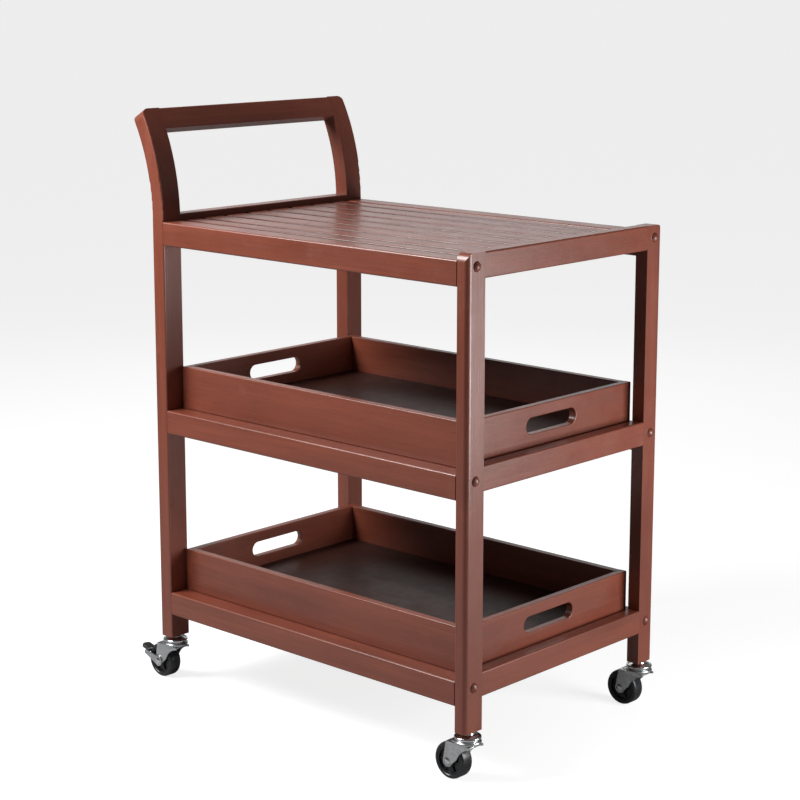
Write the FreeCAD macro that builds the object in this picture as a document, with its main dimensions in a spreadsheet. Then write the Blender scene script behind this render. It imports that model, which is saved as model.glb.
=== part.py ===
import FreeCAD, Part
import Sketcher
import os

# Kitchen island cart: two end frames, three pairs of side rails, a slatted top with a
# stemware rack under it, two lift-out trays and four swivel casters, two with brakes.
# Millimetres. +Z up, +X towards the plain end, -X towards the handle end.
# Origin: on the floor, under the middle of the whole cart's outline.

DIMENSIONS = {
    # frame
    "centre_x": 26.4,           # middle of the wooden frame, measured from the origin
    "frame_length": 616.0,      # over the outer faces of the posts
    "frame_width": 420.0,
    "post_base": 72.0,          # floor to the underside of the posts
    "post_depth": 34.0,         # along Y
    "plain_thick": 20.0,        # plain-end posts and rails, along X
    "handle_thick": 24.0,       # handle-end posts, rails and bar, along X
    "plain_high": 647.0,        # length of a plain-end post
    "bend_start": 640.0,        # straight length of a handle-end post
    "bend_radius": 310.0,       # to the middle of the post
    "bend_angle": 30.0,
    "bar_angle": 5.9,           # part of the bend that the handle bar fills
    "rail_high": 35.0,
    "side_lift": 36.5,          # post foot to the underside of the lowest side rail
    "end_lift": 46.0,           # post foot to the underside of the lowest end rail
    "shelf_pitch": 283.0,
    "edge_soft": 2.5,
    "corner_soft": 7.0,
    "top_corner": 12.0,
    # slatted top and shelves
    "slat_thick": 12.0,
    "slat_pitch": 45.75,
    "slat_gap": 8.3,
    "edge_gap": 8.0,            # between the outer slats and the side rails
    "slat_soft": 1.5,
    "batten_wide": 32.0,
    "batten_reach": 170.0,      # outer battens from the middle one
    "shelf_slat_wide": 60.0,
    "shelf_slat_pitch": 120.0,
    "cleat_thick": 12.0,
    # stemware rack
    "rack_pitch": 104.0,
    "rack_mouth": 190.0,        # open end of the rack, from the frame's middle
    "web_wide": 20.0,
    "web_high": 11.5,
    "strip_wide": 66.0,
    "strip_thick": 6.0,
    # trays
    "tray_length": 560.0,
    "tray_width": 362.0,
    "tray_high": 64.0,
    "tray_wall": 12.0,
    "tray_play": 0.3,           # clearance above the side rails
    "panel_thick": 4.5,
    "panel_lift": 4.0,
    "groove_deep": 4.0,
    "groove_play": 0.1,
    "grip_long": 108.0,
    "grip_high": 23.0,
    "grip_lift": 36.0,          # middle of the hand hole above the tray's underside
    # fasteners of the side rails
    "joint_lift": 26.5,         # bolt above the underside of a side rail
    "dowel_drop": 18.0,         # dowel below the bolt
    "dowel_radius": 4.0,
    "dowel_long": 30.0,
    "dowel_seat": 15.0,         # length in the post
    "dowel_spread": 19.0,       # between the two dowels of an end rail
    "hole_play": 0.1,
    "head_radius": 5.8,
    "head_thick": 4.0,
    "head_sink": 7.0,           # depth of the recess for the bolt head
    "bolt_radius": 3.0,
    "bolt_long": 56.0,
    "nut_radius": 5.0,
    "nut_long": 14.0,
    "nut_back": 7.0,            # nut axis before the bolt's tip
    "plug_radius": 7.25,
    "plug_rise": 4.5,
    "plug_peg": 2.5,
    # casters
    "plain_caster": 298.0,      # swivel axes from the frame's middle
    "handle_caster": 296.0,
    "wheel_radius": 26.0,
    "wheel_wide": 21.0,
    "wheel_soft": 4.0,
    "hub_radius": 7.0,
    "hub_dish": 18.0,
    "dish_deep": 1.6,
    "trail": 25.0,
    "run_play": 0.05,
    "axle_radius": 3.0,
    "rivet_radius": 5.0,
    "rivet_thick": 1.5,
    "fork_inner": 11.5,
    "fork_outer": 13.5,
    "fork_eye": 8.0,
    "fork_front": 15.0,
    "fork_back": 28.0,
    "web_low": 53.0,
    "head_low": 55.0,
    "ring_radius": 19.0,
    "ring_high": 7.0,
    "ring_gap": 0.5,
    "race_high": 8.5,
    "kingpin_low": 50.5,
    "stem_radius": 4.0,
    "stem_top": 110.0,
    "sleeve_radius": 5.5,
    "sleeve_top": 108.0,
    "flange_radius": 8.5,
    "flange_thick": 1.0,
    # brake levers
    "arm_inner": 13.85,
    "arm_outer": 15.35,
    "arm_eye": 8.5,
    "arm_back": 32.0,
    "arm_low": 3.5,
    "arm_high": 4.5,
    "bridge_thick": 2.5,
    "pedal_back": 50.0,
    "pedal_wide": 15.0,
    "pedal_thick": 6.0,
    "pedal_soft": 5.5,
    "pedal_tilt": 14.0,
}

ZERO = FreeCAD.Vector(0, 0, 0)
TURN = {
    "X": FreeCAD.Rotation(FreeCAD.Vector(0, 1, 0), 90),
    "Y": FreeCAD.Rotation(FreeCAD.Vector(1, 0, 0), -90),
    "Z": FreeCAD.Rotation(),
}
SIDES = {"near": -1, "far": 1}
LEVELS = ("low", "mid", "top")
ENDS = ("handle", "plain")

# places that several pieces share, as expressions of the sheet's cells
OUT_X = {"plain": "centre_x + frame_length / 2", "handle": "centre_x - frame_length / 2"}
IN_X = {"plain": OUT_X["plain"] + " - plain_thick", "handle": OUT_X["handle"] + " + handle_thick"}
OUT_Y = "frame_width / 2"
IN_Y = "(frame_width / 2 - post_depth)"
MID_Y = "(frame_width - post_depth) / 2"
INWARD = {"plain": -1, "handle": 1}

document = FreeCAD.newDocument("island_cart")
nodes = []


def make_sheet():
    """Write the driving dimensions into a sheet, one named cell each."""
    cells = document.addObject("Spreadsheet::Sheet", "Dims")
    for row, (alias, number) in enumerate(DIMENSIONS.items(), start=1):
        cells.set(f"A{row}", alias)
        cells.set(f"B{row}", str(number))
        cells.setAlias(f"B{row}", alias)
    document.recompute()
    return cells


sheet = make_sheet()


def expression(text):
    """Point every cell name in a formula at the sheet."""
    words = []
    word = ""
    for letter in text + " ":
        if letter.isalnum() or letter == "_":
            word += letter
            continue
        words.append("Dims." + word if word in DIMENSIONS else word)
        words.append(letter)
        word = ""
    return "".join(words).strip()


def bind(piece, name, formula):
    piece.setExpression(name, expression(str(formula)))


def bind_place(piece, place):
    for axis, formula in zip("xyz", place):
        bind(piece, f".Placement.Base.{axis}", formula)


def mirrored(side, low, high):
    """The Y range between two distances from the middle, on one side of the cart."""
    return (low, high) if side > 0 else (f"-({high})", f"-({low})")


def block(name, low, high):
    """A box between two corners."""
    box = document.addObject("Part::Box", name)
    for size, start, end in zip(("Length", "Width", "Height"), low, high):
        bind(box, size, f"({end}) - ({start})")
    bind_place(box, low)
    return box


def rod(name, axis, radius, start, length):
    """A cylinder from a point along +X, +Y or +Z."""
    cylinder = document.addObject("Part::Cylinder", name)
    cylinder.Placement = FreeCAD.Placement(ZERO, TURN[axis])
    bind(cylinder, "Radius", radius)
    bind(cylinder, "Height", length)
    bind_place(cylinder, start)
    return cylinder


def fused(name, pieces):
    union = document.addObject("Part::MultiFuse", name)
    union.Shapes = pieces
    union.Refine = True
    return union


def grouped(name, pieces):
    group = document.addObject("Part::Compound", name)
    group.Links = pieces
    return group


def cut(name, base, tool):
    difference = document.addObject("Part::Cut", name)
    difference.Base = base
    difference.Tool = tool
    difference.Refine = True
    return difference


def soften(name, base, radius_of):
    """Round the edges of a piece for which radius_of(edge) gives a radius."""
    document.recompute()
    edges = []
    for number, edge in enumerate(base.Shape.Edges, start=1):
        radius = radius_of(edge)
        if radius:
            edges.append((number, radius, radius))
    rounded = document.addObject("Part::Fillet", name)
    rounded.Base = base
    rounded.Edges = edges
    return rounded


def along(edge, axis):
    """Whether an edge is straight and parallel to an axis."""
    if edge.Curve.TypeId != "Part::GeomLine":
        return False
    direction = edge.tangentAt(edge.FirstParameter)
    return abs(getattr(direction, axis)) > 0.999


def long_edges(base, axis, radius, special=None):
    """Round the four long edges of a bar. special maps corner signs to another radius."""
    document.recompute()
    middle = base.Shape.BoundBox.Center
    others = [name for name in "xyz" if name != axis]

    def radius_of(edge):
        if not along(edge, axis):
            return 0
        centre = edge.BoundBox.Center
        signs = tuple(1 if getattr(centre, name) > getattr(middle, name) else -1 for name in others)
        return (special or {}).get(signs, radius)

    return soften(base.Name + "_soft", base, radius_of)


def node(label, piece):
    """Name a finished piece and keep it for export."""
    piece.Label = label
    nodes.append(piece)
    return piece


def level_z(level, lift):
    return f"post_base + {lift} + {LEVELS.index(level)} * shelf_pitch"


# ---------------------------------------------------------------- fasteners

def side_joints():
    """Every joint of a side rail with a post: its end, side, level and place."""
    for end in ENDS:
        for side_name, side in SIDES.items():
            for level in LEVELS:
                yield end, side_name, side, level, f"{end}_{side_name}_{level}"


def low_x(end, near, far):
    """The lower X of a piece between two depths below an end frame's outer face."""
    return f"{OUT_X[end]} - ({far})" if end == "plain" else f"{OUT_X[end]} + ({near})"


def end_rod(name, end, side, height, radius, near, far):
    """A cylinder along X between two depths below an end frame's outer face."""
    start = (low_x(end, near, far), f"{side} * {MID_Y}", height)
    return rod(name, "X", radius, start, f"({far}) - ({near})")


def bolt_height(level):
    return level_z(level, "side_lift + joint_lift")


def dowel_height(level):
    return level_z(level, "side_lift + joint_lift - dowel_drop")


def make_bolts():
    """A flat-headed bolt through each post into the end of its side rail."""
    bolts = []
    for end, _, side, level, tag in side_joints():
        height = bolt_height(level)
        head = end_rod(f"head_{tag}", end, side, height, "head_radius",
                       "head_sink - head_thick", "head_sink")
        shank = end_rod(f"shank_{tag}", end, side, height, "bolt_radius",
                        "head_sink", "head_sink + bolt_long")
        bolts.append(fused(f"bolt_{tag}", [head, shank]))
    node("bolts", grouped("bolts", bolts))


def nut_axis_x(end):
    depth = "(head_sink + bolt_long - nut_back)"
    return f"{OUT_X[end]} - {depth}" if end == "plain" else f"{OUT_X[end]} + {depth}"


def make_barrel_nuts():
    """A cross-drilled round nut on each bolt."""
    nuts = []
    for end, _, side, level, tag in side_joints():
        place = (nut_axis_x(end), f"{side} * {MID_Y} - nut_long / 2", bolt_height(level))
        barrel = rod(f"barrel_{tag}", "Y", "nut_radius", place, "nut_long")
        thread = end_rod(f"thread_{tag}", end, side, bolt_height(level), "bolt_radius + hole_play",
                         "head_sink + bolt_long - 3 * nut_back", "head_sink + bolt_long + nut_back")
        nuts.append(cut(f"nut_{tag}", barrel, thread))
    node("barrel_nuts", grouped("barrel_nuts", nuts))


def end_dowels():
    """Places of the dowels between the posts and the end rails and handle bar."""
    thick = {"plain": "plain_thick", "handle": "handle_thick"}
    for end in ENDS:
        middle = f"{OUT_X[end]} + {INWARD[end]} * {thick[end]} / 2"
        for side_name, side in SIDES.items():
            for level in LEVELS:
                for step in (-1, 1):
                    height = level_z(level, f"end_lift + rail_high / 2 + {step} * dowel_spread / 2")
                    tag = f"{end}_{side_name}_{level}_{'upper' if step > 0 else 'lower'}"
                    yield end, side_name, side, level, tag, (middle, height)


def cross_dowel(name, side, place, radius, extra):
    """A dowel along Y, half in the post and half in the rail."""
    reach = f"(dowel_long / 2 + {extra})"
    start = (place[0], f"{side} * {IN_Y} - {reach}", place[1])
    return rod(name, "Y", radius, start, f"2 * {reach}")


def make_dowels():
    dowels = []
    for end, _, side, level, tag in side_joints():
        dowels.append(end_rod(f"side_dowel_{tag}", end, side, dowel_height(level), "dowel_radius",
                              "plain_thick - dowel_seat", "plain_thick - dowel_seat + dowel_long"))
    for _, _, side, _, tag, place in end_dowels():
        dowels.append(cross_dowel(f"end_dowel_{tag}", side, place, "dowel_radius", 0))
    node("dowels", grouped("dowels", dowels))


def make_plugs():
    """Domed plugs over the bolt heads."""
    plugs = []
    ball = "((plug_radius ^ 2 + plug_rise ^ 2) / (2 * plug_rise))"
    for end, _, side, level, tag in side_joints():
        outward = -INWARD[end]
        dome = document.addObject("Part::Sphere", f"dome_{tag}")
        dome.Placement = FreeCAD.Placement(ZERO, FreeCAD.Rotation(FreeCAD.Vector(0, 1, 0), 90 * outward))
        bind(dome, "Radius", ball)
        bind(dome, "Angle1", f"asin(({ball} - plug_rise) / {ball})")
        height = bolt_height(level)
        bind_place(dome, (f"{OUT_X[end]} - {outward} * ({ball} - plug_rise)", f"{side} * {MID_Y}", height))
        peg = end_rod(f"peg_{tag}", end, side, height, "head_radius - hole_play", 0, "plug_peg")
        plugs.append(fused(f"plug_{tag}", [dome, peg]))
    node("dome_plugs", grouped("dome_plugs", plugs))


def joint_holes(end, side_name):
    """The drilling of one post for its side rails, end rails and caster sleeve."""
    side = SIDES[side_name]
    holes = []
    for level in LEVELS:
        tag = f"{end}_{side_name}_{level}"
        height = bolt_height(level)
        holes.append(end_rod(f"recess_{tag}", end, side, height, "head_radius + hole_play",
                             -1, "head_sink"))
        holes.append(end_rod(f"through_{tag}", end, side, height, "bolt_radius + hole_play",
                             0, "2 * handle_thick"))
        holes.append(end_rod(f"seat_{tag}", end, side, dowel_height(level), "dowel_radius + hole_play",
                             "plain_thick - dowel_seat - hole_play", "2 * handle_thick"))
    for other_end, other_side, _, _, tag, place in end_dowels():
        if other_end == end and other_side == side_name:
            holes.append(cross_dowel(f"post_drill_{tag}", side, place, "dowel_radius + hole_play", 0.5))
    holes.append(rod(f"sleeve_bore_{end}_{side_name}", "Z", "sleeve_radius + hole_play",
                     caster_place(end, side, "post_base - 1"), "stem_top - post_base + 3"))
    return fused(f"drilling_{end}_{side_name}", holes)


# ------------------------------------------------------------- end frames

def caster_place(end, side, height):
    reach = f"centre_x + {-INWARD[end]} * {end}_caster"
    return (reach, f"{side} * {MID_Y}", height)


def plain_post(side_name):
    """A straight post: rounded outer corner, rounded shoulder where it meets the top rail."""
    side = SIDES[side_name]
    y_low, y_high = mirrored(side, IN_Y, OUT_Y)
    blank = block(f"plain_post_{side_name}_blank", (IN_X["plain"], y_low, "post_base"),
                  (OUT_X["plain"], y_high, "post_base + plain_high"))
    document.recompute()
    outer_y = side * sheet.frame_width / 2
    outer_x = blank.Shape.BoundBox.XMax
    crown = sheet.post_base + sheet.plain_high

    def radius_of(edge):
        centre = edge.BoundBox.Center
        if abs(centre.y - outer_y) > 0.1:
            return 0
        if along(edge, "z"):
            return sheet.corner_soft if abs(centre.x - outer_x) < 0.1 else sheet.edge_soft
        return sheet.top_corner if abs(centre.z - crown) < 0.1 else 0

    rounded = soften(f"plain_post_{side_name}_soft", blank, radius_of)
    node(f"post_plain_{side_name}",
         cut(f"post_plain_{side_name}", rounded, joint_holes("plain", side_name)))


def sketch_rectangle(body, name, x_range, y_range, offset):
    """A rectangle on the body's XY plane, moved by an offset, with its sides bound."""
    drawing = body.newObject("Sketcher::SketchObject", name)
    plane = [item for item in body.Origin.OriginFeatures if item.Role == "XY_Plane"][0]
    drawing.AttachmentSupport = [(plane, "")]
    drawing.MapMode = "FlatFace"
    for axis, formula in zip("xyz", offset):
        bind(drawing, f".AttachmentOffset.Base.{axis}", formula)
    start = [(0, 0), (10, 0), (10, 10), (0, 10)]
    for first, second in zip(start, start[1:] + start[:1]):
        ends = (FreeCAD.Vector(*first, 0), FreeCAD.Vector(*second, 0))
        drawing.addGeometry(Part.LineSegment(*ends), False)
    for line in range(4):
        drawing.addConstraint(Sketcher.Constraint("Coincident", line, 2, (line + 1) % 4, 1))
        drawing.addConstraint(Sketcher.Constraint("Horizontal" if line % 2 == 0 else "Vertical", line))
    corners = (("DistanceX", 0, 1, x_range[0]), ("DistanceY", 0, 1, y_range[0]),
               ("DistanceX", 2, 1, x_range[1]), ("DistanceY", 2, 1, y_range[1]))
    for kind, line, point, formula in corners:
        number = drawing.addConstraint(Sketcher.Constraint(kind, -1, 1, line, point, 5.0))
        bind(drawing, f"Constraints[{number}]", formula)
    return drawing


def bend_centre():
    """The axis that the handle posts bend about."""
    return (f"{OUT_X['handle']} - bend_radius + handle_thick / 2", 0, "post_base + bend_start")


def swept(body, drawing, angle):
    """Turn a rectangle upwards about the bend axis."""
    sweep = body.newObject("PartDesign::Revolution", drawing.Name + "_bend")
    sweep.Profile = drawing
    sweep.ReferenceAxis = (drawing, ["V_Axis"])
    sweep.Reversed = True
    bind(sweep, "Angle", angle)
    return sweep


def handle_post(side_name):
    """A post that runs straight up and then bends outwards to the handle bar."""
    side = SIDES[side_name]
    y_range = mirrored(side, IN_Y, OUT_Y)
    body = document.addObject("PartDesign::Body", f"handle_post_{side_name}_body")
    foot = sketch_rectangle(body, f"foot_{side_name}", (OUT_X["handle"], IN_X["handle"]), y_range,
                            (0, 0, "post_base"))
    straight = body.newObject("PartDesign::Pad", f"straight_{side_name}")
    straight.Profile = foot
    bind(straight, "Length", "bend_start")
    radii = ("bend_radius - handle_thick / 2", "bend_radius + handle_thick / 2")
    swept(body, sketch_rectangle(body, f"bend_{side_name}", radii, y_range, bend_centre()),
          "bend_angle")
    document.recompute()
    outer_y = side * sheet.frame_width / 2
    crown = body.Shape.BoundBox.ZMax

    def radius_of(edge):
        box = edge.BoundBox
        if abs(box.Center.y - outer_y) > 0.1 or box.YLength > 0.1:
            return 0
        if box.ZMax > crown - 0.1 and box.ZLength < sheet.handle_thick:
            return sheet.top_corner
        if box.ZLength < sheet.handle_thick:
            return 0
        return sheet.edge_soft

    rounded = soften(f"handle_post_{side_name}_soft", body, radius_of)
    node(f"post_handle_{side_name}",
         cut(f"post_handle_{side_name}", rounded, joint_holes("handle", side_name)))


def handle_bar():
    """The bar between the tops of the handle posts, cut from the same bend."""
    body = document.addObject("PartDesign::Body", "handle_bar_body")
    radii = ("bend_radius - handle_thick / 2", "bend_radius + handle_thick / 2")
    outline = sketch_rectangle(body, "bar_outline", radii, (f"-{IN_Y}", IN_Y), (0, 0, 0))
    swept(body, outline, "bar_angle")
    rise = sheet.bend_angle - sheet.bar_angle
    body.Placement = FreeCAD.Placement(ZERO, FreeCAD.Rotation(FreeCAD.Vector(0, 1, 0), -rise))
    bind_place(body, bend_centre())
    document.recompute()

    def radius_of(edge):
        return sheet.edge_soft if along(edge, "y") else 0

    node("handle_bar", soften("handle_bar", body, radius_of))


def end_rail(end, level):
    """A cross rail between two posts, flush with their faces."""
    x_range = sorted((IN_X[end], OUT_X[end]), key=lambda text: INWARD[end] * (text == IN_X[end]))
    bottom = level_z(level, "end_lift")
    blank = block(f"end_rail_{end}_{level}_blank", (x_range[0], f"-{IN_Y}", bottom),
                  (x_range[1], IN_Y, bottom + " + rail_high"))
    rounded = long_edges(blank, "y", sheet.edge_soft)
    holes = []
    for other_end, side_name, side, other_level, tag, place in end_dowels():
        if other_end == end and other_level == level:
            holes.append(cross_dowel(f"rail_drill_{tag}", side, place, "dowel_radius + hole_play", 0.5))
    node(f"end_rail_{end}_{level}",
         cut(f"end_rail_{end}_{level}", rounded, fused(f"rail_drilling_{end}_{level}", holes)))


def side_rail(side_name, level):
    """A long rail between the end frames, drilled for its bolts, nuts and dowels."""
    side = SIDES[side_name]
    y_low, y_high = mirrored(side, IN_Y, OUT_Y)
    bottom = level_z(level, "side_lift")
    blank = block(f"side_rail_{side_name}_{level}_blank", (IN_X["handle"], y_low, bottom),
                  (IN_X["plain"], y_high, bottom + " + rail_high"))
    rounded = long_edges(blank, "x", sheet.edge_soft)
    holes = []
    for end in ENDS:
        tag = f"{end}_{side_name}_{level}"
        height = bolt_height(level)
        holes.append(end_rod(f"rail_bolt_{tag}", end, side, height, "bolt_radius + hole_play",
                             0, "head_sink + bolt_long + 2"))
        holes.append(end_rod(f"rail_dowel_{tag}", end, side, dowel_height(level),
                             "dowel_radius + hole_play", 0, "plain_thick - dowel_seat + dowel_long + 1"))
        low, _ = mirrored(side, f"{IN_Y} - nut_long", f"{IN_Y} + (post_depth + nut_long) / 2")
        holes.append(rod(f"rail_nut_{tag}", "Y", "nut_radius + hole_play",
                         (nut_axis_x(end), low, height), "nut_long + (post_depth + nut_long) / 2"))
    node(f"side_rail_{side_name}_{level}",
         cut(f"side_rail_{side_name}_{level}", rounded, fused(f"drilling_{side_name}_{level}", holes)))


# -------------------------------------------------------- top and shelves

SLAT_TOP = "post_base + side_lift + 2 * shelf_pitch + rail_high"


def top_slats():
    """Slats along the cart, level with the side rails."""
    slats = []
    gaps = [f"{step} * slat_pitch" for step in range(-3, 4)]
    edge = f"({IN_Y} - edge_gap)"
    lows = [f"-{edge}"] + [f"{gap} + slat_gap / 2" for gap in gaps]
    highs = [f"{gap} - slat_gap / 2" for gap in gaps] + [edge]
    for number, (low, high) in enumerate(zip(lows, highs), start=1):
        blank = block(f"slat_{number}", (IN_X["handle"], low, SLAT_TOP + " - slat_thick"),
                      (IN_X["plain"], high, SLAT_TOP))
        slats.append(long_edges(blank, "x", sheet.slat_soft))
    node("top_slats", grouped("top_slats", slats))


def top_battens():
    """Three cross battens that carry the slats."""
    battens = []
    top = SLAT_TOP + " - slat_thick"
    for step in (-1, 0, 1):
        middle = f"centre_x + {step} * batten_reach"
        battens.append(block(f"batten_{step + 2}",
                             (f"{middle} - batten_wide / 2", f"-{IN_Y}", top + " - slat_thick"),
                             (f"{middle} + batten_wide / 2", IN_Y, top)))
    node("top_battens", grouped("top_battens", battens))


def stemware_rack():
    """Four T-shaped runners under the top: webs, and the strips that glass feet slide on."""
    webs = []
    strips = []
    web_top = SLAT_TOP + " - 2 * slat_thick"
    web_foot = web_top + " - web_high"
    mouth = "centre_x + rack_mouth"
    for step in (-3, -1, 1, 3):
        side = 1 if step > 0 else -1
        middle = f"{abs(step)} * rack_pitch / 2"
        low, high = mirrored(side, f"{middle} - web_wide / 2", f"{middle} + web_wide / 2")
        webs.append(block(f"web_{step + 4}", (IN_X["handle"], low, web_foot),
                          (mouth, high, web_top)))
        outer = f"{middle} + strip_wide / 2" if abs(step) == 1 else f"{IN_Y} - tray_play"
        low, high = mirrored(side, f"{middle} - strip_wide / 2", outer)
        blank = block(f"strip_{step + 4}", (IN_X["handle"], low, web_foot + " - strip_thick"),
                      (mouth, high, web_foot))
        strips.append(long_edges(blank, "x", sheet.slat_soft))
    node("stem_rack_webs", grouped("stem_rack_webs", webs))
    node("stem_rack_strips", grouped("stem_rack_strips", strips))


def shelf_slats(level):
    """Cross slats that carry a tray, level with the side rails."""
    slats = []
    top = level_z(level, "side_lift + rail_high")
    for step in range(-2, 3):
        middle = f"centre_x + {step} * shelf_slat_pitch"
        blank = block(f"shelf_slat_{level}_{step + 3}",
                      (f"{middle} - shelf_slat_wide / 2", f"-{IN_Y}", top + " - slat_thick"),
                      (f"{middle} + shelf_slat_wide / 2", IN_Y, top))
        slats.append(long_edges(blank, "y", sheet.slat_soft))
    node(f"shelf_slats_{level}", grouped(f"shelf_slats_{level}", slats))


def shelf_cleats():
    """Strips along the side rails that the shelf slats rest on."""
    cleats = []
    for level in LEVELS[:2]:
        top = level_z(level, "side_lift + rail_high - slat_thick")
        for side_name, side in SIDES.items():
            low, high = mirrored(side, f"{IN_Y} - cleat_thick", IN_Y)
            cleats.append(block(f"cleat_{side_name}_{level}", (IN_X["handle"], low, top + " - cleat_thick"),
                                (IN_X["plain"], high, top)))
    node("shelf_cleats", grouped("shelf_cleats", cleats))


# ------------------------------------------------------------------ trays

def tray(level):
    """A tray of four boards and a thin panel in their grooves."""
    foot = level_z(level, "side_lift + rail_high + tray_play")
    rim = foot + " + tray_high"
    half_long = "tray_length / 2"
    half_wide = "tray_width / 2"

    def panel_blank(name, play):
        reach_x = f"{half_long} - tray_wall + groove_deep + {play}"
        reach_y = f"{half_wide} - tray_wall + groove_deep + {play}"
        low = (f"centre_x - ({reach_x})", f"-({reach_y})", f"{foot} + panel_lift - {play}")
        high = (f"centre_x + {reach_x}", reach_y, f"{foot} + panel_lift + panel_thick + {play}")
        return block(name, low, high)

    def rim_edges(base, axis):
        return long_edges(base, axis, sheet.slat_soft)

    for side_name, side in SIDES.items():
        low, high = mirrored(side, f"{half_wide} - tray_wall", half_wide)
        blank = block(f"tray_{level}_{side_name}_blank",
                      (f"centre_x - {half_long} + tray_wall", low, foot),
                      (f"centre_x + {half_long} - tray_wall", high, rim))
        groove = panel_blank(f"groove_{level}_{side_name}", "groove_play")
        name = f"tray_{level}_side_{side_name}"
        node(name, cut(name, rim_edges(blank, "x"), groove))
    for end in ENDS:
        outward = -INWARD[end]
        inner = f"centre_x + {outward} * ({half_long} - tray_wall)"
        outer = f"centre_x + {outward} * {half_long}"
        x_range = (inner, outer) if outward > 0 else (outer, inner)
        blank = block(f"tray_{level}_{end}_blank", (x_range[0], f"-({half_wide})", foot),
                      (x_range[1], half_wide, rim))
        grip = hand_hole(f"{level}_{end}", x_range, f"{foot} + grip_lift")
        groove = panel_blank(f"groove_{level}_{end}", "groove_play")
        cuts = fused(f"cuts_{level}_{end}", [grip, groove])
        holed = cut(f"tray_{level}_{end}_holed", rim_edges(blank, "y"), cuts)
        name = f"tray_{level}_end_{end}"
        node(name, soften(name, holed, grip_rim(holed)))
    name = f"tray_{level}_panel"
    node(name, panel_blank(name, 0))


def hand_hole(tag, x_range, height):
    """An oblong through hole with round ends."""
    start = f"{x_range[0]} - 1"
    depth = "tray_wall + 2"
    reach = "(grip_long - grip_high) / 2"
    pieces = [block(f"grip_{tag}", (start, f"-{reach}", f"{height} - grip_high / 2"),
                    (f"{start} + {depth}", reach, f"{height} + grip_high / 2"))]
    for side_name, side in SIDES.items():
        pieces.append(rod(f"grip_{tag}_{side_name}", "X", "grip_high / 2",
                          (start, f"{side} * {reach}", height), depth))
    return fused(f"grip_shape_{tag}", pieces)


def grip_rim(board):
    """A rule that picks the edges of the hand hole on both faces of a tray's end board."""
    document.recompute()
    box = board.Shape.BoundBox
    reach = sheet.grip_long / 2 + 1
    low = box.ZMin + sheet.grip_lift - sheet.grip_high / 2 - 1
    high = low + sheet.grip_high + 2

    def radius_of(edge):
        bounds = edge.BoundBox
        on_face = bounds.XLength < 0.01
        inside = abs(bounds.YMin) < reach and abs(bounds.YMax) < reach
        return sheet.slat_soft if on_face and inside and low < bounds.ZMin and bounds.ZMax < high else 0

    return radius_of


# ---------------------------------------------------------------- casters

def ring_soft(radius):
    """A rule that picks the round rims of a turned piece above a radius."""
    def radius_of(edge):
        curve = edge.Curve
        return 1.2 if curve.TypeId == "Part::GeomCircle" and curve.Radius > radius else 0
    return radius_of


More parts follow.
